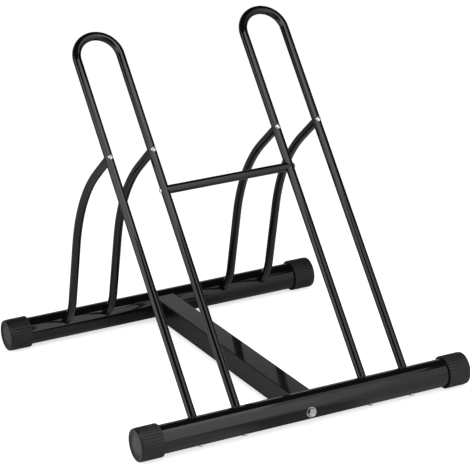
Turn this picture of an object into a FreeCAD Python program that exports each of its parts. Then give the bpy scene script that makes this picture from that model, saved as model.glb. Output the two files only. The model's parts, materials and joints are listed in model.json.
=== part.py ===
import FreeCAD, Part
import math
import os
from FreeCAD import Vector

# Floor rack for two bicycles: two base tubes and a square bar make the frame on the floor,
# two hoops lean back from the front tube, and four bent struts hold them up from the rear tube.
# The origin is on the floor under the middle of the rack. +X runs along the base tubes,
# +Y to the back and +Z up. All lengths are in millimetres and all angles in degrees.

# Base tubes
overall_length = 650.0          # over the end caps
tube_spacing = 578.0            # front axis to rear axis
base_od = 50.8
base_wall = 1.5

# End caps, which are the rack's feet
cap_wall = 4.3
cap_length = 43.4
cap_end_wall = 5.0
cap_edge_radius = 4.5
cap_edge_bevels = 3             # flats that make up the rounded edge
cap_rib_count = 30
cap_rib_land = 3.4              # flat top of a rib
cap_flute_depth = 0.6           # between two ribs
cap_rib_end_step = 0.7          # where the ribs stop short of the rounded edge
cap_disc_radius = 17.5          # sunk disc in the end face
cap_disc_recess = 1.2
cap_disc_bevel = 2.5
cap_fit = 0.05                  # radial gap to the tube

# Square bar between the base tubes
bar_size = 41.3
bar_wall = 2.0
plate_setback = 2.0             # from the base tube's surface to the end plate
plate_thickness = 4.0
plate_fit = 0.05

# Hoops
leg_od = 15.9
leg_wall = 1.2
hoop_spacing = 334.2            # middle to middle of the two hoops
hoop_width = 83.8               # between a hoop's two leg axes
hoop_reach = 745.0              # along the leg, front tube axis to the crown's centreline
hoop_lean_angle = 38.1          # back from upright

# Struts
strut_od = 15.9
strut_wall = 1.2
strut_joint = 512.0             # along the leg, front tube axis to the strut's screw
strut_foot_lean_angle = 53.0    # forward from upright, at the rear tube
strut_foot_run = 61.5           # rear tube axis to the lower bend's corner
strut_middle_lean_angle = 15.5
strut_foot_bend_radius = 80.0
strut_top_bend_radius = 325.0

# Cross bar between the two hoops
cross_od = 15.9
cross_wall = 1.2
cross_joint = 435.0             # along the leg, front tube axis to the bar's axis

# Fits
leg_hole_gap = 0.3              # radial, round a leg or strut where it enters a base tube
saddle_gap = 0.05               # between a shaped tube end and the tube that it sits on
thread_gap = 0.05

# Screws with domed heads, and the threaded inserts that they hold in
screw_d = 5.0
screw_hole_gap = 0.25
screw_head_d = 9.5
screw_head_height = 2.75
screw_head_rim = 0.6
screw_engagement = 12.0
insert_length = 20.0

# Hexagon bolts and nuts of the square bar
bolt_d = 8.0
bolt_drop = 2.9                 # below the base tube's axis
bolt_hole_gap = 0.25
bolt_head_flats = 13.0
bolt_head_height = 5.3
bolt_past_nut = 4.8
nut_flats = 13.0
nut_height = 6.8
washer_od = 19.0
washer_thickness = 1.6

base_radius = base_od / 2
base_bore = base_radius - base_wall
cap_radius = base_radius + cap_wall
leg_radius = leg_od / 2
strut_radius = strut_od / 2
cross_radius = cross_od / 2
tube_length = overall_length - 2 * cap_end_wall

X_AXIS = Vector(1, 0, 0)
Y_AXIS = Vector(0, 1, 0)
Z_AXIS = Vector(0, 0, 1)
TINY = 0.001


def leaning(angle):
    # Unit vector that leans back from upright by the angle.
    turn = math.radians(angle)
    return Vector(0, math.sin(turn), math.cos(turn))


front_axis = Vector(0, -tube_spacing / 2, cap_radius)
rear_axis = Vector(0, tube_spacing / 2, cap_radius)
leg_line = leaning(hoop_lean_angle)
leg_face = leaning(hoop_lean_angle - 90)          # square to the leg, out of its upper front side
strut_foot_line = leaning(-strut_foot_lean_angle)
strut_middle_line = leaning(-strut_middle_lean_angle)

inner_leg_x = (hoop_spacing - hoop_width) / 2
outer_leg_x = (hoop_spacing + hoop_width) / 2
leg_places = [-outer_leg_x, -inner_leg_x, inner_leg_x, outer_leg_x]


def at_x(point, x):
    return Vector(x, point.y, point.z)


def bolt_centre(axis):
    return axis - Z_AXIS * bolt_drop


def on_leg(distance, x):
    return at_x(front_axis + leg_line * distance, x)


def cylinder(start, line, length, radius):
    return Part.makeCylinder(radius, length, start, line)


def ring(start, line, length, outer, inner):
    return cylinder(start, line, length, outer).cut(cylinder(start, line, length, inner))


def joined(shapes):
    return shapes[0].multiFuse(shapes[1:]).removeSplitter()


def square_to(line):
    # Two unit vectors square to the line and to each other.
    first = line.cross(X_AXIS)
    if first.Length < TINY:
        first = line.cross(Y_AXIS)
    first.normalize()
    return first, line.cross(first)


def prism(start, line, length, corners):
    # Straight sided solid: the corners are pairs in the plane square to the line.
    first, second = square_to(line)
    points = [start + first * u + second * v for u, v in corners]
    return Part.Face(Part.makePolygon(points + points[:1])).extrude(line * length)


def turned(base, line, outline):
    # Solid turned about the line. The outline is pairs of a distance along it and one out from it.
    side = square_to(line)[0]
    points = [base + line * along + side * out for along, out in outline]
    return Part.Face(Part.makePolygon(points + points[:1])).revolve(base, line, 360)


def bent_rod(corners, bends, radius):
    # Round rod of straight runs and tangent arcs, with one bend radius for each inner corner.
    pieces = []
    start = corners[0]
    for before, corner, after, bend in zip(corners, corners[1:], corners[2:], bends):
        arriving = (corner - before).normalize()
        leaving = (after - corner).normalize()
        turn = arriving.getAngle(leaving)
        tangent = bend * math.tan(turn / 2)
        bend_start = corner - arriving * tangent
        if (bend_start - start).Length > TINY:
            pieces.append(cylinder(start, arriving, (bend_start - start).Length, radius))
        pivot = arriving.cross(leaving).normalize()
        centre = bend_start + pivot.cross(arriving) * bend
        section = Part.Face(Part.Wire(Part.makeCircle(radius, bend_start, arriving)))
        pieces.append(section.revolve(centre, pivot, math.degrees(turn)))
        start = corner + leaving * tangent
    last_run = corners[-1] - start
    pieces.append(cylinder(start, last_run, last_run.Length, radius))
    return joined(pieces)


def bent_tube(corners, bends, outer, wall):
    return bent_rod(corners, bends, outer).cut(bent_rod(corners, bends, outer - wall))


def foot_trim(axis, line, radius):
    # What is taken off the end of a leg or strut so that it stands on a base tube's inner wall.
    depth = base_od
    width = 2 * radius
    corners = [(-width, -width), (width, -width), (width, width), (-width, width)]
    block = prism(axis - line * depth, line, depth, corners)
    return block.cut(cylinder(axis - X_AXIS * 2 * width, X_AXIS, 4 * width, base_bore))


def foot_start(axis, line, radius):
    # A point on the rod's axis far enough down for the rod to reach the wall all round.
    return axis - line * (base_bore + radius)


def base_tube(axis, line, radius):
    # Tube with a hole for each leg or strut, its screw hole opposite, and the bar's bolt holes.
    tube = ring(axis - X_AXIS * tube_length / 2, X_AXIS, tube_length, base_radius, base_bore)
    holes = []
    for x in leg_places:
        middle = at_x(axis, x)
        holes.append(cylinder(middle, line, base_od, radius + leg_hole_gap))
        holes.append(cylinder(middle, line * -1, base_od, screw_d / 2 + screw_hole_gap))
    bolt_hole = bolt_d / 2 + bolt_hole_gap
    holes.append(cylinder(bolt_centre(axis) - Y_AXIS * base_od, Y_AXIS, 2 * base_od, bolt_hole))
    return tube.cut(holes)


def rib_outline():
    # Corners of the ribbed barrel: flat lands with a shallow groove between them.
    pitch = 2 * math.pi / cap_rib_count
    half_land = cap_rib_land / 2
    floor_radius = cap_radius - cap_flute_depth
    corners = []
    for rib in range(cap_rib_count):
        turn = rib * pitch
        across = (math.cos(turn), math.sin(turn))
        for offset in (-half_land, half_land):
            corners.append((cap_radius * across[0] - offset * across[1],
                            cap_radius * across[1] + offset * across[0]))
        groove = turn + pitch / 2
        corners.append((floor_radius * math.cos(groove), floor_radius * math.sin(groove)))
    return corners


def end_cap(axis, side):
    # Cup over the end of a base tube: a ribbed barrel, then a smooth rounded edge round an end
    # face with a sunk disc.
    outward = X_AXIS * side
    mouth = axis + outward * (overall_length / 2 - cap_length)
    barrel_length = cap_length - cap_edge_radius
    # Extruded to the left on both sides, because the first land then points straight down.
    right_end = mouth if side < 0 else mouth + outward * barrel_length
    barrel = prism(right_end, X_AXIS * -1, barrel_length, rib_outline())
    edge_radius = cap_radius - cap_rib_end_step
    arc_middle = edge_radius - cap_edge_radius
    outline = [(0, 0), (0, edge_radius)]
    for bevel in range(cap_edge_bevels + 1):
        turn = math.radians(90 * bevel / cap_edge_bevels)
        outline.append((barrel_length + cap_edge_radius * math.sin(turn),
                        arc_middle + cap_edge_radius * math.cos(turn)))
    outline += [
        (cap_length, cap_disc_radius + cap_disc_bevel),
        (cap_length - cap_disc_recess, cap_disc_radius),
        (cap_length - cap_disc_recess, 0),
    ]
    bore = cylinder(mouth, outward, cap_length - cap_end_wall, base_radius + cap_fit)
    return joined([barrel, turned(mouth, outward, outline)]).cut(bore)


def square_corners(size):
    half = size / 2
    return [(-half, -half), (half, -half), (half, half), (-half, half)]


def connecting_bar():
    # Square tube from base tube to base tube, its ends hollowed to sit on them.
    outer = prism(front_axis, Y_AXIS, tube_spacing, square_corners(bar_size))
    inner = prism(front_axis, Y_AXIS, tube_spacing, square_corners(bar_size - 2 * bar_wall))
    seats = [
        cylinder(axis - X_AXIS * bar_size, X_AXIS, 2 * bar_size, base_radius + saddle_gap)
        for axis in (front_axis, rear_axis)
    ]
    return outer.cut([inner] + seats)


def end_plate(axis, inward):
    # Welded plate inside the bar's end, with the bolt's hole.
    face = axis + inward * (base_radius + plate_setback)
    size = bar_size - 2 * bar_wall - 2 * plate_fit
    plate = prism(face, inward, plate_thickness, square_corners(size))
    return plate.cut(cylinder(bolt_centre(face), inward, plate_thickness, bolt_d / 2 + bolt_hole_gap))


def hexagon(flats):
    # Corners with one flat on top.
    reach = flats / math.sqrt(3)
    turns = [math.radians(60 * corner + 30) for corner in range(6)]
    return [(reach * math.cos(turn), reach * math.sin(turn)) for turn in turns]


def bar_nut(axis, inward):
    face = bolt_centre(axis) + inward * (base_radius + plate_setback + plate_thickness)
    nut = prism(face, inward, nut_height, hexagon(nut_flats))
    return nut.cut(cylinder(face, inward, nut_height, bolt_d / 2 + thread_gap))


def bar_washer(axis, inward):
    outside = bolt_centre(axis) - inward * (base_radius + washer_thickness)
    return ring(outside, inward, washer_thickness, washer_od / 2, bolt_d / 2 + bolt_hole_gap)


def bar_bolt(axis, inward):
    # Hexagon bolt through the washer, both walls of the base tube, the end plate and the nut.
    seat = bolt_centre(axis) - inward * (base_radius + washer_thickness)
    grip = washer_thickness + base_od + plate_setback + plate_thickness
    shank = cylinder(seat, inward, grip + nut_height + bolt_past_nut, bolt_d / 2)
    head = prism(seat, inward * -1, bolt_head_height, hexagon(bolt_head_flats))
    return joined([head, shank])


def hoop(side):
    # One tube bent over its crown in a half circle, both feet standing inside the front tube.
    inner_x = side * inner_leg_x
    outer_x = side * outer_leg_x
    foot = foot_start(front_axis, leg_line, leg_radius)
    corners = [
        at_x(foot, inner_x),
        on_leg(hoop_reach, inner_x),
        on_leg(hoop_reach, outer_x),
        at_x(foot, outer_x),
    ]
    tube = bent_hoop_tube(corners)
    cuts = [foot_trim(at_x(front_axis, x), leg_line, leg_radius) for x in (inner_x, outer_x)]
    hole = screw_d / 2 + screw_hole_gap
    for x in (inner_x, outer_x):
        cuts.append(cylinder(on_leg(strut_joint, x) - leg_face * leg_od, leg_face, 2 * leg_od, hole))
    inner_joint = on_leg(cross_joint, inner_x)
    cuts.append(cylinder(inner_joint - X_AXIS * leg_od, X_AXIS, 2 * leg_od, hole))
    return tube.cut(cuts)


def bent_hoop_tube(corners):
    bend = hoop_width / 2
    return bent_tube(corners, [bend, bend], leg_radius, leg_wall)


def strut_corners():
    # Foot, lower bend, upper bend and the point on the leg's axis, in the plane x = 0.
    top = on_leg(strut_joint, 0)
    lower = rear_axis + strut_foot_line * strut_foot_run
    gap = top - lower
    run = gap.cross(leg_face).x / strut_middle_line.cross(leg_face).x
    upper = lower + strut_middle_line * run
    return [foot_start(rear_axis, strut_foot_line, strut_radius), lower, upper, top]


def strut(x):
    # Bent tube that stands inside the rear tube and ends in a saddle against the leg.
    corners = [at_x(corner, x) for corner in strut_corners()]
    tube = bent_tube(corners, [strut_foot_bend_radius, strut_top_bend_radius], strut_radius, strut_wall)
    leg_room = cylinder(on_leg(0, x), leg_line, hoop_reach, leg_radius + saddle_gap)
    return tube.cut([foot_trim(at_x(rear_axis, x), strut_foot_line, strut_radius), leg_room])


def cross_bar():
    start = on_leg(cross_joint, -inner_leg_x)
    bar = ring(start, X_AXIS, 2 * inner_leg_x, cross_radius, cross_radius - cross_wall)
    legs = [
        cylinder(on_leg(0, x), leg_line, hoop_reach, leg_radius + saddle_gap)
        for x in (-inner_leg_x, inner_leg_x)
    ]
    return bar.cut(legs)


def insert(start, line, radius):
    # Threaded plug that fills the bore of a tube's end.
    return ring(start, line, insert_length, radius, screw_d / 2 + thread_gap)


def foot_insert(axis, line, bore_radius):
    # The plug starts where the shaped foot of the leg or strut is a full round.
    setback = math.sqrt(base_bore * base_bore - bore_radius * bore_radius)
    return insert(axis - line * setback, line, bore_radius)


def saddle_insert(joint, line, bore_radius):
    # Plug in a tube end that sits against a leg.
    return insert(joint + line * (leg_radius + saddle_gap), line, bore_radius)


def screw(seat, inward, length):
    # Domed screw with its head's underside on the seat. The dome is two bevels.
    radius = screw_head_d / 2
    dome = screw_head_height - screw_head_rim
    ball = (radius * radius + dome * dome) / (2 * dome)
    half_turn = math.asin(radius / ball) / 2
    middle_height = screw_head_height - ball + ball * math.cos(half_turn)
    outline = [
        (0, radius),
        (-screw_head_rim, radius),
        (-middle_height, ball * math.sin(half_turn)),
        (-screw_head_height, 0),
        (length, 0),
        (length, screw_d / 2),
        (0, screw_d / 2),
    ]
    return turned(seat, inward, outline)


def foot_screw(axis, line):
    seat = axis - line * base_radius
    return screw(seat, line, base_wall + screw_engagement)


def strut_screw(x):
    seat = on_leg(strut_joint, x) + leg_face * leg_radius
    return screw(seat, leg_face * -1, leg_od + screw_engagement)


def cross_screw(side):
    inward = X_AXIS * -side
    seat = on_leg(cross_joint, side * inner_leg_x) - inward * leg_radius
    return screw(seat, inward, leg_od + screw_engagement)


def group(shapes):
    return Part.makeCompound(shapes)


parts = {
    "front_base_tube": base_tube(front_axis, leg_line, leg_radius),
    "rear_base_tube": base_tube(rear_axis, strut_foot_line, strut_radius),
    "end_cap_front_left": end_cap(front_axis, -1),
    "end_cap_front_right": end_cap(front_axis, 1),
    "end_cap_rear_left": end_cap(rear_axis, -1),
    "end_cap_rear_right": end_cap(rear_axis, 1),
    "connecting_bar": connecting_bar(),
    "hoop_left": hoop(-1),
    "hoop_right": hoop(1),
    "cross_bar": cross_bar(),
}

for end, axis, inward in (("front", front_axis, Y_AXIS), ("rear", rear_axis, Y_AXIS * -1)):
    parts["bar_end_plate_" + end] = end_plate(axis, inward)
    parts["bar_nut_" + end] = bar_nut(axis, inward)
    parts["bar_washer_" + end] = bar_washer(axis, inward)
    parts["bar_bolt_" + end] = bar_bolt(axis, inward)

strut_names = ["left_outer", "left_inner", "right_inner", "right_outer"]
for name, x in zip(strut_names, leg_places):
    parts["strut_" + name] = strut(x)

leg_feet = [at_x(front_axis, x) for x in leg_places]
strut_feet = [at_x(rear_axis, x) for x in leg_places]
parts["leg_foot_inserts"] = group(
    [foot_insert(foot, leg_line, leg_radius - leg_wall) for foot in leg_feet])
parts["strut_foot_inserts"] = group(
    [foot_insert(foot, strut_foot_line, strut_radius - strut_wall) for foot in strut_feet])
parts["strut_top_inserts"] = group(
    [saddle_insert(on_leg(strut_joint, x), leg_face * -1, strut_radius - strut_wall)
     for x in leg_places])
parts["cross_bar_inserts"] = group(
    [saddle_insert(on_leg(cross_joint, side * inner_leg_x), X_AXIS * -side, cross_radius - cross_wall)
     for side in (-1, 1)])
parts["leg_foot_screws"] = group([foot_screw(foot, leg_line) for foot in leg_feet])
parts["strut_foot_screws"] = group([foot_screw(foot, strut_foot_line) for foot in strut_feet])
parts["strut_top_screws"] = group([strut_screw(x) for x in leg_places])
parts["cross_bar_screws"] = group([cross_screw(side) for side in (-1, 1)])

os.makedirs("parts", exist_ok=True)
for name, shape in parts.items():
    shape.exportStep("parts/" + name + ".step")
    print(name, "solids", len(shape.Solids), "volume", round(shape.Volume, 1), "valid", shape.isValid())
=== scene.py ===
import json
import math

import bmesh
import bpy
from mathutils import Matrix, Vector


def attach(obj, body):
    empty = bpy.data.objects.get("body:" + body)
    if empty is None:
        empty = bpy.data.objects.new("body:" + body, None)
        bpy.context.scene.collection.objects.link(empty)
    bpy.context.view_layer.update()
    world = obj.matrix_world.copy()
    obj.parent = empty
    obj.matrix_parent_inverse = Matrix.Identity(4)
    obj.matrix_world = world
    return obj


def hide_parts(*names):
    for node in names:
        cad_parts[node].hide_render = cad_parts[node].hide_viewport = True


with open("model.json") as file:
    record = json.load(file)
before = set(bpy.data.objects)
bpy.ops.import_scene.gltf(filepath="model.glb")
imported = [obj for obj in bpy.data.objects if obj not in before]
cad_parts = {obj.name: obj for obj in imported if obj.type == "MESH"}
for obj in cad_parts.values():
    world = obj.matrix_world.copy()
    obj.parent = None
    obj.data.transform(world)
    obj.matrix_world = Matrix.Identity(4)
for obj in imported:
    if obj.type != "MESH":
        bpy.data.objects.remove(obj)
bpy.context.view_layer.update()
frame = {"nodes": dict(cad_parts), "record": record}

scene = bpy.context.scene
scene.view_settings.view_transform = "Standard"
nodes = frame["nodes"]
print("frame loaded with", len(nodes), "nodes")

millimetre = 0.001

# The sizes of the steel frame, in millimetres and degrees, for the places of the new pieces
rack = {
    "length": 650.0,            # over the end caps
    "tubeSpacing": 578.0,       # front tube axis to rear tube axis
    "tubeRadius": 25.4,
    "tubeHeight": 29.7,         # a base tube's axis above the floor
    "hoopLean": 38.1,           # back from upright
    "legRadius": 7.95,
    "legPlaces": (-209.0, -125.2, 125.2, 209.0),
    "strutFootLean": 53.0,      # forward from upright
    "strutJoint": 512.0,        # along a leg from the front tube's axis
    "crossJoint": 435.0,
    "boltDrop": 2.9,            # below a base tube's axis
}

# The camera stands where the photograph was taken from
cameraSetup = {
    "target": (0.02069, 0.0002, 0.25344),
    "azimuth": -26.548,
    "elevation": 19.674,
    "roll": -1.8945,
    "distance": 4.4085,
    "lens": 185.8,
    "sensor": 36.0,
    "farthest": 100.0,          # nothing is drawn beyond this
}


def makeCamera(setup):
    azimuth = math.radians(setup["azimuth"])
    elevation = math.radians(setup["elevation"])
    roll = math.radians(setup["roll"])
    back = Vector((math.sin(azimuth) * math.cos(elevation),
                   -math.cos(azimuth) * math.cos(elevation),
                   math.sin(elevation)))
    level = Vector((math.cos(azimuth), math.sin(azimuth), 0))
    upright = back.cross(level)
    right = level * math.cos(roll) + upright * math.sin(roll)
    up = upright * math.cos(roll) - level * math.sin(roll)
    lens = bpy.data.cameras.new("photoCamera")
    lens.lens = setup["lens"]
    lens.sensor_width = setup["sensor"]
    lens.clip_end = setup["farthest"]
    camera = bpy.data.objects.new("photoCamera", lens)
    scene.collection.objects.link(camera)
    turn = Matrix((right, up, back)).transposed().to_4x4()
    place = Vector(setup["target"]) + back * setup["distance"]
    camera.matrix_world = Matrix.Translation(place) @ turn
    scene.camera = camera


makeCamera(cameraSetup)
print("camera placed")


class Value:
    # Wraps an output socket, so that sums in Python add Math nodes.
    def __init__(self, finish, socket):
        self.finish = finish
        self.socket = socket

    def combine(self, operation, *values):
        inputs = {place: value for place, value in enumerate(values)}
        return self.finish.add("ShaderNodeMath", {"operation": operation}, inputs).out()

    def __add__(self, other):
        return self.combine("ADD", self, other)

    def __radd__(self, other):
        return self.combine("ADD", other, self)

    def __sub__(self, other):
        return self.combine("SUBTRACT", self, other)

    def __rsub__(self, other):
        return self.combine("SUBTRACT", other, self)

    def __mul__(self, other):
        return self.combine("MULTIPLY", self, other)

    def __rmul__(self, other):
        return self.combine("MULTIPLY", other, self)

    def size(self):
        return self.combine("ABSOLUTE", self)

    def root(self):
        return self.combine("SQRT", self)

    def clipped(self):
        return self.combine("MINIMUM", self.combine("MAXIMUM", self, 0.0), 1.0)

    def between(self, start, end):
        # Nought at the start and one at the end, and level beyond each.
        return ((self - start) * (1 / (end - start))).clipped()


class Node:
    def __init__(self, finish, node):
        self.finish = finish
        self.node = node

    def out(self, name=0):
        return Value(self.finish, self.node.outputs[name])


class Finish:
    # One material or world: nodes are added by type, settings and socket values.
    def __init__(self, owner):
        self.owner = owner
        owner.use_nodes = True
        self.tree = owner.node_tree
        self.tree.nodes.clear()

    def add(self, nodeType, settings=None, inputs=None):
        node = self.tree.nodes.new(nodeType)
        for name, value in (settings or {}).items():
            if name == "stops":
                ramp = node.color_ramp
                for stop, (position, shade) in enumerate(value):
                    point = ramp.elements[stop] if stop < 2 else ramp.elements.new(position)
                    point.position = position
                    point.color = (shade, shade, shade, 1)
            else:
                setattr(node, name, value)
        for name, value in (inputs or {}).items():
            if isinstance(value, Value):
                self.tree.links.new(value.socket, node.inputs[name])
            else:
                node.inputs[name].default_value = value
        return Node(self, node)

    def noise(self, place, scale, detail=2.0, roughness=0.5):
        inputs = {"Vector": place, "Scale": scale, "Detail": detail, "Roughness": roughness}
        return self.add("ShaderNodeTexNoise", None, inputs).out("Fac")

    def ramp(self, value, *stops):
        return self.add("ShaderNodeValToRGB", {"stops": stops}, {"Fac": value}).out("Color")

    def blend(self, factor, first, second):
        # Colour mix of two colours or colour sockets.
        inputs = {0: factor, 6: first, 7: second}
        return self.add("ShaderNodeMix", {"data_type": "RGBA"}, inputs).out(2)

    def bump(self, height, strength, distance, below=None):
        inputs = {"Height": height, "Strength": strength, "Distance": distance}
        if below:
            inputs["Normal"] = below
        return self.add("ShaderNodeBump", None, inputs).out()

    def surface(self, shader):
        self.add("ShaderNodeOutputMaterial", None, {"Surface": shader})

    def principled(self, inputs):
        self.surface(self.add("ShaderNodeBsdfPrincipled", None, inputs).out())
        return self.owner


def newMaterial(name):
    return Finish(bpy.data.materials.new(name))


def objectPlace(finish):
    return finish.add("ShaderNodeTexCoord").out("Object")


def splitAxes(finish, vector):
    return finish.add("ShaderNodeSeparateXYZ", None, {0: vector})


def uneven(pattern, values):
    # Roughness that the pattern moves up and down by half of its spread.
    spread = values["roughnessSpread"]
    return pattern * spread + (values["roughness"] - spread / 2)


def colour(shade):
    return (*shade, 1.0)


black = colour((0.0, 0.0, 0.0))
white = colour((1.0, 1.0, 1.0))

coat = {
    "black": (0.003, 0.003, 0.0035),
    "dust": (0.015, 0.015, 0.017),
    "cloudScale": 16.0,
    "cloudDust": 0.03,
    "speckScale": 900.0,
    "speckStops": ((0.68, 0.0), (0.74, 1.0)),
    "speckDust": 0.5,           # on what faces up
    "roughness": 0.065,
    "roughnessSpread": 0.04,
    "refraction": 1.5,
    "peelScale": 420.0,         # orange peel of the baked powder
    "peelStrength": 0.03,
    "peelHeight": 0.0001,
    "flowScale": 70.0,          # slow waves of the coat's thickness
    "flowStrength": 0.025,
    "flowHeight": 0.0004,
}


def powderCoat():
    finish = newMaterial("blackCoat")
    place = objectPlace(finish)
    cloud = finish.noise(place, coat["cloudScale"], detail=4.0)
    specks = finish.ramp(finish.noise(place, coat["speckScale"], detail=1.0), *coat["speckStops"])
    normal = finish.add("ShaderNodeNewGeometry").out("Normal")
    upwards = splitAxes(finish, normal).out("Z").clipped()
    dust = (upwards * specks * coat["speckDust"] + cloud * coat["cloudDust"]).clipped()
    flow = finish.bump(finish.noise(place, coat["flowScale"], detail=1.0),
                       coat["flowStrength"], coat["flowHeight"])
    peel = finish.bump(finish.noise(place, coat["peelScale"]),
                       coat["peelStrength"], coat["peelHeight"], flow)
    return finish.principled({
        "Base Color": finish.blend(dust, colour(coat["black"]), colour(coat["dust"])),
        "Roughness": uneven(cloud, coat),
        "IOR": coat["refraction"],
        "Normal": peel,
    })


rubber = {
    "groove": (0.001, 0.001, 0.001),
    "dark": (0.012, 0.012, 0.013),
    "worn": (0.024, 0.024, 0.025),
    "wornStops": ((0.45, 0.0), (0.8, 0.7)),
    "cloudScale": 45.0,
    "disc": (0.040, 0.040, 0.042),      # the end face's disc is paler, and its rim carries a painted highlight
    "discRadius": 0.0172,
    "rimHighlightRadii": (0.0256, 0.0272),
    "grooveRadius": 0.0293,
    "ringFade": 0.0005,                 # over which a ring's edge fades
    "endPlaces": (0.3225, 0.3228),      # only the end faces are further from the rack's middle
    "roughness": 0.42,
    "roughnessSpread": 0.16,
    "refraction": 1.42,
    "grainScale": 1500.0,
    "grainStrength": 0.35,
    "grainHeight": 0.00012,
}


def capMasks(finish, place):
    # One for the paler disc and the painted highlight on the rim of any of the four end faces, and one
    # for the painted shade below the ribs' tops.
    split = splitAxes(finish, place)
    back = split.out("Y").size() - rack["tubeSpacing"] / 2 * millimetre
    height = split.out("Z") - rack["tubeHeight"] * millimetre
    radius = (back * back + height * height).root()

    def within(limit):
        halfFade = rubber["ringFade"] / 2
        return radius.between(limit + halfFade, limit - halfFade)

    inner, outer = rubber["rimHighlightRadii"]
    paleDiscAndRimHighlight = within(rubber["discRadius"]) + within(outer) - within(inner)
    onEnd = split.out("X").size().between(*rubber["endPlaces"])
    return paleDiscAndRimHighlight * onEnd, within(rubber["grooveRadius"])


def capRubber():
    finish = newMaterial("capRubber")
    place = objectPlace(finish)
    cloud = finish.noise(place, rubber["cloudScale"], detail=5.0, roughness=0.6)
    grain = finish.noise(place, rubber["grainScale"], detail=3.0)
    worn = finish.ramp(cloud, *rubber["wornStops"])
    paleDiscAndRimHighlight, grooves = capMasks(finish, place)
    moulded = finish.blend(worn, colour(rubber["dark"]), colour(rubber["worn"]))
    # Painted shade on all that lies below the ribs' tops, such as the flutes and the end face's ring.
    mouldedWithShade = finish.blend(grooves, moulded, colour(rubber["groove"]))
    return finish.principled({
        "Base Color": finish.blend(paleDiscAndRimHighlight, mouldedWithShade, colour(rubber["disc"])),
        "Roughness": uneven(cloud, rubber),
        "IOR": rubber["refraction"],
        "Normal": finish.bump(grain, rubber["grainStrength"], rubber["grainHeight"]),
    })


zinc = {
    "bright": (0.94, 0.94, 0.945),
    "dull": (0.78, 0.79, 0.80),
    "dullStops": ((0.4, 0.0), (0.75, 0.8)),
    "cloudScale": 260.0,
    "paintedShadeAndReflection": (0.05, 0.05, 0.052),      # painted shade in the recesses and a painted dark reflection on the sides of a hexagon
    "roughness": 0.36,
    "roughnessSpread": 0.16,
    "crystalScale": 700.0,
    "crystalStrength": 0.12,
    "crystalHeight": 0.00008,
}


def zincPlate():
    finish = newMaterial("zincPlate")
    place = objectPlace(finish)
    cloud = finish.noise(place, zinc["cloudScale"], detail=4.0)
    crystals = finish.noise(place, zinc["crystalScale"])
    dull = finish.ramp(cloud, *zinc["dullStops"])
    plated = finish.blend(dull, colour(zinc["bright"]), colour(zinc["dull"]))
    # Painted shade and a painted dark reflection where the attribute is set.
    paintedShadeAndReflection = finish.add("ShaderNodeAttribute", {"attribute_name": "paintedShadeAndReflection"}).out("Fac")
    return finish.principled({
        "Base Color": finish.blend(paintedShadeAndReflection, plated, colour(zinc["paintedShadeAndReflection"])),
        "Metallic": 1.0,
        "Roughness": uneven(crystals, zinc),
        "Normal": finish.bump(crystals, zinc["crystalStrength"], zinc["crystalHeight"]),
    })


steel = {
    "bare": (0.36, 0.36, 0.37),
    "stain": (0.17, 0.15, 0.14),
    "stainStops": ((0.5, 0.0), (0.85, 0.6)),
    "cloudScale": 60.0,
    "roughness": 0.42,
    "roughnessSpread": 0.2,
    "lineStretch": (1.0, 40.0, 1.0),    # lines of the rolled plates
    "lineScale": 120.0,
    "lineStrength": 0.1,
    "lineHeight": 0.0001,
}


def plainSteel():
    finish = newMaterial("plainSteel")
    place = objectPlace(finish)
    stretching = {"Vector": place, "Scale": steel["lineStretch"]}
    stretched = finish.add("ShaderNodeMapping", None, stretching).out()
    lines = finish.noise(stretched, steel["lineScale"], detail=3.0)
    cloud = finish.noise(place, steel["cloudScale"], detail=4.0)
    stain = finish.ramp(cloud, *steel["stainStops"])
    return finish.principled({
        "Base Color": finish.blend(stain, colour(steel["bare"]), colour(steel["stain"])),
        "Metallic": 1.0,
        "Roughness": uneven(lines, steel),
        "Normal": finish.bump(lines, steel["lineStrength"], steel["lineHeight"]),
    })


finishes = {
    "black_coat": powderCoat(),
    "cap_rubber": capRubber(),
    "zinc_plate": zincPlate(),
    "plain_steel": plainSteel(),
}


def dress(piece, slotName):
    piece.data.materials.clear()
    piece.data.materials.append(finishes[slotName])


for subpart in frame["record"]["subparts"]:
    dress(nodes[subpart["node"]], subpart["material_slot"])
print("finishes made and put on the frame")


def leaning(angle):
    # Unit vector that leans back from upright by the angle.
    turn = math.radians(angle)
    return Vector((0, math.sin(turn), math.cos(turn)))


halfSpacing = rack["tubeSpacing"] / 2
frontAxis = Vector((0, -halfSpacing, rack["tubeHeight"]))
rearAxis = Vector((0, halfSpacing, rack["tubeHeight"]))
legLine = leaning(rack["hoopLean"])
legFace = leaning(rack["hoopLean"] - 90)        # square to a leg, out of its upper front side
strutFootLine = leaning(-rack["strutFootLean"])
joinDistance = 0.000001                         # in metres: points closer than this are one
nearby = 0.01                                   # in millimetres: a point this near is at the height


def sideways(x):
    return Vector((x, 0, 0))


def deselectAll():
    bpy.ops.object.select_all(action="DESELECT")


def pick(piece):
    deselectAll()
    piece.select_set(True)
    bpy.context.view_layer.objects.active = piece


def selectParts(piece, kind, wanted):
    # In edit mode, selects the vertices, edges or faces for which the test is true.
    bpy.ops.mesh.select_all(action="DESELECT")
    bpy.ops.mesh.select_mode(type=kind)
    mesh = bmesh.from_edit_mesh(piece.data)
    parts = {"VERT": mesh.verts, "EDGE": mesh.edges, "FACE": mesh.faces}[kind]
    for part in parts:
        part.select = wanted(part)
    mesh.select_flush_mode()
    bmesh.update_edit_mesh(piece.data)


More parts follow.
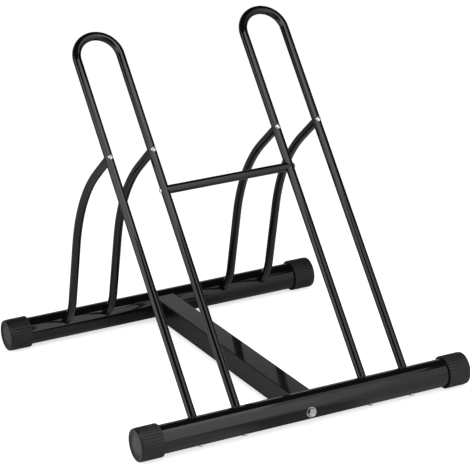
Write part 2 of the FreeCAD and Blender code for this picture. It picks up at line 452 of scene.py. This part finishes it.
def turnedPiece(name, outline, corners, loop=False):
    # A round piece about Z: one ring after another is extruded along the outline, which is pairs
    # of height and radius in millimetres. A loop ends where it began and has a hole.
    deselectAll()
    height, radius = outline[0]
    bpy.ops.mesh.primitive_circle_add(
        vertices=corners, radius=radius * millimetre, fill_type="NOTHING" if loop else "NGON")
    piece = bpy.context.object
    piece.name = piece.data.name = name
    bpy.ops.object.mode_set(mode="EDIT")
    bpy.ops.mesh.select_mode(type="VERT")
    bpy.ops.mesh.select_all(action="SELECT")
    bpy.ops.transform.translate(value=(0, 0, height * millimetre))
    for nextHeight, nextRadius in outline[1:]:
        rise = (nextHeight - height) * millimetre
        bpy.ops.mesh.extrude_region_move(TRANSFORM_OT_translate={"value": (0, 0, rise)})
        growth = nextRadius / radius
        bpy.ops.transform.resize(value=(growth, growth, 1), center_override=(0, 0, 0))
        height, radius = nextHeight, nextRadius
    bpy.ops.mesh.select_all(action="SELECT")
    bpy.ops.mesh.remove_doubles(threshold=joinDistance)
    bpy.ops.mesh.normals_make_consistent(inside=False)
    bpy.ops.object.mode_set(mode="OBJECT")
    return piece


def carve(piece, tool, operation="DIFFERENCE"):
    # Boolean with a tool piece, which is used up.
    pick(piece)
    cut = piece.modifiers.new("carve", "BOOLEAN")
    cut.operation = operation
    cut.solver = "EXACT"
    cut.object = tool
    bpy.ops.object.modifier_apply(modifier="carve")
    bpy.data.objects.remove(tool)


def smooth(piece, angle):
    pick(piece)
    bpy.ops.object.shade_smooth_by_angle(angle=math.radians(angle))


def flatten(piece):
    # Large faces keep their own normals, so that only the narrow ones between them look round.
    pick(piece)
    piece.modifiers.new("flatten", "WEIGHTED_NORMAL").keep_sharp = True
    bpy.ops.object.modifier_apply(modifier="flatten")


def markShaded(piece, wanted):
    # The zinc is painted dark, as painted shade or a painted dark reflection, on the faces for which
    # the test is true.
    marks = piece.data.attributes.new("paintedShadeAndReflection", "FLOAT", "FACE")
    for face in piece.data.polygons:
        marks.data[face.index].value = float(wanted(face.center / millimetre, face.normal))


def applyPlace():
    bpy.ops.object.transform_apply(location=True, rotation=True, scale=True)


def standing(seat, outward, spin=0.0):
    # Place of a piece whose Z points outward and whose origin is on the seat.
    turn = outward.to_track_quat("Z", "Y").to_matrix().to_4x4()
    return Matrix.Translation(seat * millimetre) @ turn @ Matrix.Rotation(math.radians(spin), 4, "Z")


def placed(model, name, place):
    # A copy of the model with its own mesh, and its place in that mesh.
    pick(model)
    bpy.ops.object.duplicate(linked=False)
    piece = bpy.context.object
    piece.name = piece.data.name = name
    piece.matrix_world = place
    applyPlace()
    return piece


def joinPieces(name, pieces):
    deselectAll()
    for piece in pieces:
        piece.select_set(True)
    bpy.context.view_layer.objects.active = pieces[0]
    bpy.ops.object.join()
    whole = bpy.context.object
    whole.name = whole.data.name = name
    return whole


# Rubber end cap, modelled with its mouth at height 0 and its end face up
endCap = {
    "radius": 29.7,
    "length": 43.4,
    "boreRadius": 25.45,
    "boreDepth": 38.4,
    "mouthBevel": 0.5,
    "mouthDraw": 0.05,          # by which the ribs are lower at the mouth
    "edgeRadius": 2.0,
    "edgeSteps": 7,
    "ribs": 30,
    "cornersPerRib": 12,
    "fluteDepths": {4: 0.25, 5: 0.6, 6: 0.8, 7: 0.6, 8: 0.25},     # by corner, from a rib's middle
    "fluteFade": (36.6, 37.8),  # heights where the flutes run out
    "ribTops": 29.5,            # a point further out than this is on a rib's top
    "smoothRadius": 29.2,       # of the smooth band after the flutes
    "bandDraw": 0.35,           # by which this band is wider at its start
    "lipRadius": 25.0,          # shallow step in the end face
    "lipDepth": 0.5,
    "lipBevel": 0.6,
    "discRadius": 17.5,
    "discDepth": 1.2,
    "discBevel": 2.5,
    "discRounding": ((0.1, 0.4), (0.15, 0.3)),  # height and width at the bevel's top and foot
    "discCrown": ((0.05, 0.6), (0.1, 0.1)),     # rise, and share of the disc's radius
    "smoothAngle": 40.0,
}


def capOutline():
    size = endCap
    radius, length, bevel = size["radius"], size["length"], size["mouthBevel"]
    bore, band, edge = size["boreRadius"], size["smoothRadius"], size["edgeRadius"]
    fadeStart, fadeEnd = size["fluteFade"]
    outline = [
        (size["boreDepth"], bore),
        (bevel, bore),
        (0, bore + bevel),
        (0, radius - bevel - max(size["fluteDepths"].values())),
        (bevel, radius - size["mouthDraw"]),
        (bevel * 2, radius),
        (fadeStart, radius),
        (fadeEnd, band + size["bandDraw"]),
    ]
    for step in range(size["edgeSteps"] + 1):
        turn = math.radians(90 * step / size["edgeSteps"])
        outline.append((length - edge + edge * math.sin(turn), band - edge + edge * math.cos(turn)))
    lip, lipRadius = length - size["lipDepth"], size["lipRadius"]
    foot, disc = length - size["discDepth"], size["discRadius"]
    slope = disc + size["discBevel"]
    (fall, narrowing), (rise, widening) = size["discRounding"]
    outline += [
        (length, lipRadius + size["lipBevel"]),
        (lip, lipRadius),
        (lip, slope),
        (lip - fall, slope - narrowing),
        (foot + rise, disc + widening),
        (foot, disc),
    ]
    return outline + [(foot + crown, disc * share) for crown, share in size["discCrown"]]


def modelCap():
    size = endCap
    corners = size["ribs"] * size["cornersPerRib"]
    cap = turnedPiece("endCapModel", capOutline(), corners)
    bpy.ops.object.mode_set(mode="EDIT")
    start, end = size["mouthBevel"], size["fluteFade"][0]

    def onFlute(vertex, corner):
        place = vertex.co / millimetre
        outside = math.hypot(place.x, place.y) > size["ribTops"]
        around = round(math.degrees(math.atan2(place.y, place.x)) * corners / 360)
        inFlute = around % size["cornersPerRib"] == corner
        return outside and inFlute and start - nearby < place.z < end + nearby

    for corner, depth in size["fluteDepths"].items():
        selectParts(cap, "VERT", lambda vertex: onFlute(vertex, corner))
        squeeze = 1 - depth / size["radius"]
        bpy.ops.transform.resize(value=(squeeze, squeeze, 1), center_override=(0, 0, 0))
    bpy.ops.object.mode_set(mode="OBJECT")
    smooth(cap, size["smoothAngle"])
    return cap


def makeCaps():
    model = modelCap()
    mouth = rack["length"] / 2 - endCap["length"]
    down = Vector((0, 0, -1))
    for depthName, axis in (("front", frontAxis), ("rear", rearAxis)):
        for sideName, side in (("left", -1), ("right", 1)):
            outward = sideways(side)
            # The local X axis is turned down, so that a rib and not a flute is on the floor.
            turn = Matrix((down, outward.cross(down), outward)).transposed().to_4x4()
            place = Matrix.Translation((axis + outward * mouth) * millimetre) @ turn
            cap = placed(model, "endCap" + depthName.title() + sideName.title(), place)
            dress(cap, "cap_rubber")
            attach(cap, "root")
            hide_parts("end_cap_" + depthName + "_" + sideName)
    bpy.data.objects.remove(model)


makeCaps()
print("end caps made")


# Screw with a domed head and a cross recess, its head up and the head's underside at height 0
screw = {
    "diameter": 5.0,
    "headDiameter": 10.0,
    "headHeight": 3.0,
    "headRim": 0.6,
    "rimBevel": 0.18,
    "domeSteps": 9,
    "domeTop": 0.1,             # radius of the small flat in the middle
    "corners": 56,
    "tipBevel": 0.7,
    "recessSpan": 5.4,
    "recessWidth": 1.3,
    "recessDepth": 2.0,
    "recessTaper": (0.34, 0.7),     # span and width at the recess's floor over those at its top
    "recessSkin": 0.1,          # what lies deeper than this under the dome is painted dark as shade
    "smoothAngle": 35.0,
    "firstSpin": 12.0,          # the screws of a node are each turned further
    "spinStep": 37.0,
    "engagement": 12.0,
    "baseWall": 1.5,            # of a base tube
}


def screwOutline(length):
    size = screw
    radius, shank = size["headDiameter"] / 2, size["diameter"] / 2
    dome = size["headHeight"] - size["headRim"]
    ball = (radius * radius + dome * dome) / (2 * dome)
    outline = [
        (-length, shank - size["tipBevel"]),
        (size["tipBevel"] - length, shank),
        (0, shank),
        (0, radius - size["rimBevel"]),
        (size["rimBevel"], radius),
    ]
    for step in range(size["domeSteps"]):
        turn = math.asin(radius / ball) * (1 - step / size["domeSteps"])
        outline.append((size["headHeight"] - ball + ball * math.cos(turn), ball * math.sin(turn)))
    outline.append((size["headHeight"], size["domeTop"]))
    return outline


def pointsDown(face):
    return round(face.normal.z) == -1


def recessTool(spin):
    size = screw
    deselectAll()
    bpy.ops.mesh.primitive_cube_add(size=millimetre)
    tool = bpy.context.object
    bpy.ops.object.mode_set(mode="EDIT")
    bpy.ops.mesh.select_all(action="SELECT")
    bpy.ops.transform.resize(value=(size["recessSpan"], size["recessWidth"], 2 * size["recessDepth"]))
    bpy.ops.transform.translate(value=(0, 0, size["headHeight"] * millimetre))
    selectParts(tool, "FACE", pointsDown)
    bpy.ops.transform.resize(value=(*size["recessTaper"], 1), center_override=(0, 0, 0))
    bpy.ops.object.mode_set(mode="OBJECT")
    tool.rotation_euler.z = math.radians(spin)
    applyPlace()
    return tool


def modelScrew(name, length):
    model = turnedPiece(name, screwOutline(length), screw["corners"])
    for spin in (0, 90):
        carve(model, recessTool(spin))
    smooth(model, screw["smoothAngle"])
    radius, top, skin = screw["headDiameter"] / 2, screw["headHeight"], screw["recessSkin"]

    def inRecess(place, normal):
        # Painted shade below a cone that lies just under the dome.
        share = math.hypot(place.x, place.y) / radius
        return skin < place.z < top - skin - (top - screw["headRim"]) * share

    markShaded(model, inRecess)
    return model


def makeScrews(name, nodeName, length, seats):
    # The seats are pairs of a place and the direction out of the head.
    model = modelScrew(name + "Model", length)
    pieces = []
    for number, (seat, outward) in enumerate(seats):
        spin = screw["firstSpin"] + screw["spinStep"] * number
        pieces.append(placed(model, name + str(number), standing(seat, outward, spin)))
    bpy.data.objects.remove(model)
    whole = joinPieces(name, pieces)
    dress(whole, "zinc_plate")
    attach(whole, "root")
    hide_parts(nodeName)


footLength = screw["baseWall"] + screw["engagement"]
throughLength = rack["legRadius"] * 2 + screw["engagement"]
legPlaces = rack["legPlaces"]
crossSeat = legPlaces[2] + rack["legRadius"]    # on an inner leg, opposite the bar's end
makeScrews("legFootScrews", "leg_foot_screws", footLength, [
    (frontAxis + sideways(x) - legLine * rack["tubeRadius"], -legLine) for x in legPlaces])
makeScrews("strutFootScrews", "strut_foot_screws", footLength, [
    (rearAxis + sideways(x) - strutFootLine * rack["tubeRadius"], -strutFootLine) for x in legPlaces])
makeScrews("strutTopScrews", "strut_top_screws", throughLength, [
    (frontAxis + sideways(x) + legLine * rack["strutJoint"] + legFace * rack["legRadius"], legFace)
    for x in legPlaces])
makeScrews("crossBarScrews", "cross_bar_screws", throughLength, [
    (frontAxis + legLine * rack["crossJoint"] + sideways(side * crossSeat), sideways(side))
    for side in (-1, 1)])
print("screws made")


# Hexagon bolt and washer of the square bar, head up, with the washer's underside at height 0
bolt = {
    "diameter": 8.0,
    "flats": 13.0,
    "spin": 30.0,               # of the hexagon, in degrees
    "headHeight": 5.3,
    "headChamfer": 30.0,        # degrees of the turned corners
    "faceRadius": 6.1,          # flat on top of the head
    "faceDish": 0.25,
    "dishRadii": (5.6, 4.9, 0.5),   # at its edge, at its foot and in its middle
    "length": 70.0,             # under the head
    "tipBevel": 1.0,
    "overlap": 1.0,             # by which the shapes reach into or past each other
    "sideSlope": 0.3,           # the head's sides are steeper than this
    "sideGap": 0.5,             # and further than this from the shank
    "corners": 72,
    "washerRadius": 9.5,
    "washerHole": 4.25,
    "washerThickness": 1.6,
    "washerBevel": 0.25,
    "smoothAngle": 30.0,
}


def modelWasher():
    outer, hole = bolt["washerRadius"], bolt["washerHole"]
    thick, bevel = bolt["washerThickness"], bolt["washerBevel"]
    washer = turnedPiece("washerModel", [
        (0, hole), (0, outer - bevel), (bevel, outer), (thick - bevel, outer), (thick, outer - bevel),
        (thick, hole + bevel), (thick - bevel, hole), (0, hole),
    ], bolt["corners"], loop=True)
    smooth(washer, bolt["smoothAngle"])
    return washer


def modelBolt():
    seat, top = bolt["washerThickness"], bolt["washerThickness"] + bolt["headHeight"]
    reach, shank = bolt["flats"] / math.sqrt(3), bolt["diameter"] / 2
    tip, overlap = seat - bolt["length"], bolt["overlap"]
    head = turnedPiece("boltModel", [(seat, reach), (top, reach)], 6)
    slope = math.tan(math.radians(bolt["headChamfer"]))
    fall = (reach + overlap - bolt["faceRadius"]) * slope
    dish = top - bolt["faceDish"]
    dishEdge, dishFoot, dishMiddle = bolt["dishRadii"]
    carve(head, turnedPiece("boltCrown", [
        (seat - overlap, reach + overlap), (top - fall, reach + overlap), (top, bolt["faceRadius"]),
        (top, dishEdge), (dish, dishFoot), (dish, dishMiddle),
    ], bolt["corners"]), "INTERSECT")
    carve(head, turnedPiece("boltShank", [
        (tip, shank - bolt["tipBevel"]), (tip + bolt["tipBevel"], shank), (seat + overlap, shank),
    ], bolt["corners"]), "UNION")
    smooth(head, bolt["smoothAngle"])

    # A painted dark reflection on the hexagon's sides.
    def onSide(place, normal):
        besideShank = math.hypot(place.x, place.y) > shank + bolt["sideGap"]
        return seat < place.z < top and abs(normal.z) < bolt["sideSlope"] and besideShank

    markShaded(head, onSide)
    return head


def makeBolts():
    washerModel, boltModel = modelWasher(), modelBolt()
    for endName, axis, side in (("front", frontAxis, -1), ("rear", rearAxis, 1)):
        outward = Vector((0, side, 0))
        seat = axis + outward * rack["tubeRadius"] - Vector((0, 0, rack["boltDrop"]))
        for model, kind in ((washerModel, "washer"), (boltModel, "bolt")):
            place = standing(seat, outward, bolt["spin"])
            piece = placed(model, "bar" + kind.title() + endName.title(), place)
            dress(piece, "zinc_plate")
            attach(piece, "root")
            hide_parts("bar_" + kind + "_" + endName)
    for model in (washerModel, boltModel):
        bpy.data.objects.remove(model)


makeBolts()
print("bolts made")


# Square tube with rounded corners, its ends hollowed to sit on the base tubes
squareBar = {
    "size": 41.3,
    "wall": 2.0,
    "cornerRadius": 1.8,
    "cornerSteps": 4,
    "boreOverrun": 10.0,        # by which the bore's tool is longer than the bar
    "saddleRadius": 25.45,
    "saddleCorners": 128,
    "smoothAngle": 30.0,
}


def squareRod(name, size, cornerRadius, length):
    # Square rod along Y with rounded edges.
    deselectAll()
    bpy.ops.mesh.primitive_cube_add(size=millimetre)
    rod = bpy.context.object
    rod.name = rod.data.name = name
    bpy.ops.object.mode_set(mode="EDIT")
    bpy.ops.mesh.select_all(action="SELECT")
    bpy.ops.transform.resize(value=(size, length, size))
    bpy.ops.transform.translate(value=(0, 0, rack["tubeHeight"] * millimetre))

    def runsBack(edge):
        run = edge.verts[0].co - edge.verts[1].co
        return abs(run.y) > abs(run.x) + abs(run.z)

    selectParts(rod, "EDGE", runsBack)
    bpy.ops.mesh.bevel(offset=cornerRadius * millimetre, segments=squareBar["cornerSteps"])
    bpy.ops.object.mode_set(mode="OBJECT")
    return rod


def saddleTool(axis):
    reach, radius = squareBar["size"], squareBar["saddleRadius"]
    tool = turnedPiece("saddleTool", [(-reach, radius), (reach, radius)], squareBar["saddleCorners"])
    pick(tool)
    tool.matrix_world = standing(axis, sideways(1))
    applyPlace()
    return tool


def makeSquareBar():
    size, wall, cornerRadius = squareBar["size"], squareBar["wall"], squareBar["cornerRadius"]
    length = rack["tubeSpacing"]
    bar = squareRod("squareBar", size, cornerRadius, length)
    carve(bar, squareRod("barBore", size - 2 * wall, cornerRadius - wall / 2,
                         length + squareBar["boreOverrun"]))
    for axis in (frontAxis, rearAxis):
        carve(bar, saddleTool(axis))
    smooth(bar, squareBar["smoothAngle"])
    flatten(bar)
    dress(bar, "black_coat")
    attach(bar, "root")
    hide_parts("connecting_bar")


makeSquareBar()
print("square bar made")


# Pale paper, one large box on the left and two rows of small ones, in metres and degrees
studio = {
    "floorSize": 60.0,
    "floorColour": (0.8, 0.8, 0.8),
    "floorGlow": 0.69,          # seen by the camera
    "floorMirrored": ((0.0, 0.88), (0.45, 0.75), (1.0, 0.5)),       # in the gloss, by depth
    "mirroredDepths": (-0.3, 0.9),  # where that starts and ends
    "barShade": (0.5, 0.08, 0.14),  # painted shadow of the square bar on the floor in the gloss: share left there, and where it starts and ends rising
    "ambient": 0.4,
    "room": ((0.0, 0.46), (0.36, 0.42), (0.46, 0.03), (1.0, 0.01)),     # in the gloss, by height
    "roomBehind": (0.45, 0.75),     # the room is lit only behind the rack
    "roomElsewhere": (0.01, 0.01, 0.01),
    "leftBox": {"centre": (-1.55, 0.09, 0.62), "turn": (0, -90, 0), "size": (1.2, 1.42),
                "radiance": 1.7},
    "topRow": {"edges": (-1.6, -1.0, -0.65, -0.2, 0.15, 0.45, 0.85),
               "radiances": (2.1, 1.5, 1.9, 3.1, 1.8, 0.85),
               "back": -0.445, "height": 1.16, "lean": 0.0, "width": 0.49},
    "lowRow": {"edges": (-0.15, 0.35, 0.55, 0.75, 0.95, 1.3, 2.55),
               "radiances": (1.45, 1.35, 1.15, 0.9, 0.7, 0.5),
               "back": -1.3, "height": 0.6, "lean": 43.8, "width": 1.66},
}


def makeFloor():
    deselectAll()
    bpy.ops.mesh.primitive_plane_add(size=studio["floorSize"])
    floor = bpy.context.object
    floor.name = "studioFloor"
    finish = newMaterial("floorPaper")
    paperColour = colour(studio["floorColour"])
    matt = finish.add("ShaderNodeBsdfDiffuse", None, {"Color": paperColour}).out()
    glow = finish.add("ShaderNodeEmission", None, {"Strength": studio["floorGlow"]}).out()
    paper = finish.add("ShaderNodeAddShader", None, {0: matt, 1: glow}).out()
    path = finish.add("ShaderNodeLightPath")
    seen = (path.out("Is Camera Ray") + path.out("Is Transmission Ray")).clipped()
    plain = finish.add("ShaderNodeMixShader", None, {0: seen, 1: matt, 2: paper}).out()
    spot = splitAxes(finish, objectPlace(finish))
    depth = spot.out("Y").between(*studio["mirroredDepths"])
    # A painted shadow of the square bar darkens the floor as the gloss sees it.
    share, shadeEdge, lightEdge = studio["barShade"]
    beyondBarShadow = spot.out("X").size().between(shadeEdge, lightEdge)
    dimming = finish.ramp(depth, *studio["floorMirrored"]) * (beyondBarShadow * (1 - share) + share)
    dimColour = finish.blend(dimming, black, paperColour)
    dim = finish.add("ShaderNodeBsdfDiffuse", None, {"Color": dimColour}).out()
    inGloss = path.out("Is Glossy Ray")
    finish.surface(finish.add("ShaderNodeMixShader", None, {0: inGloss, 1: plain, 2: dim}).out())
    floor.data.materials.append(finish.owner)


def makeWorld():
    scene.world = bpy.data.worlds.new("studioAir")
    finish = Finish(scene.world)
    path = finish.add("ShaderNodeLightPath")
    mirrored = (path.out("Is Glossy Ray") + path.out("Is Transmission Ray")).clipped()
    toward = splitAxes(finish, finish.add("ShaderNodeTexCoord").out("Generated"))
    behind = toward.out("Y").between(*studio["roomBehind"])
    lit = finish.ramp(toward.out("Z"), *studio["room"])
    room = finish.blend(behind, colour(studio["roomElsewhere"]), lit)
    softLight = finish.blend(mirrored, colour((studio["ambient"],) * 3), room)
    shown = finish.blend(path.out("Is Camera Ray"), softLight, white)
    background = finish.add("ShaderNodeBackground", None, {"Color": shown, "Strength": 1.0}).out()
    finish.add("ShaderNodeOutputWorld", None, {"Surface": background})


def makeLamp(name, lamp):
    light = bpy.data.lights.new(name, "AREA")
    light.shape = "RECTANGLE"
    light.size, light.size_y = lamp["size"]
    light.energy = lamp["radiance"] * math.pi * light.size * light.size_y
    box = bpy.data.objects.new(name, light)
    scene.collection.objects.link(box)
    box.location = lamp["centre"]
    box.rotation_euler = [math.radians(angle) for angle in lamp["turn"]]


def makeLampRow(name, row):
    # Boxes side by side along X, each with its own radiance.
    edges = row["edges"]
    for number, radiance in enumerate(row["radiances"]):
        left, right = edges[number], edges[number + 1]
        makeLamp(name + str(number), {
            "centre": ((left + right) / 2, row["back"], row["height"]),
            "turn": (row["lean"], 0, 0),
            "size": (right - left, row["width"]),
            "radiance": radiance,
        })


makeFloor()
makeWorld()
makeLamp("leftBox", studio["leftBox"])
for rowName in ("topRow", "lowRow"):
    makeLampRow(rowName, studio[rowName])
print("studio built")
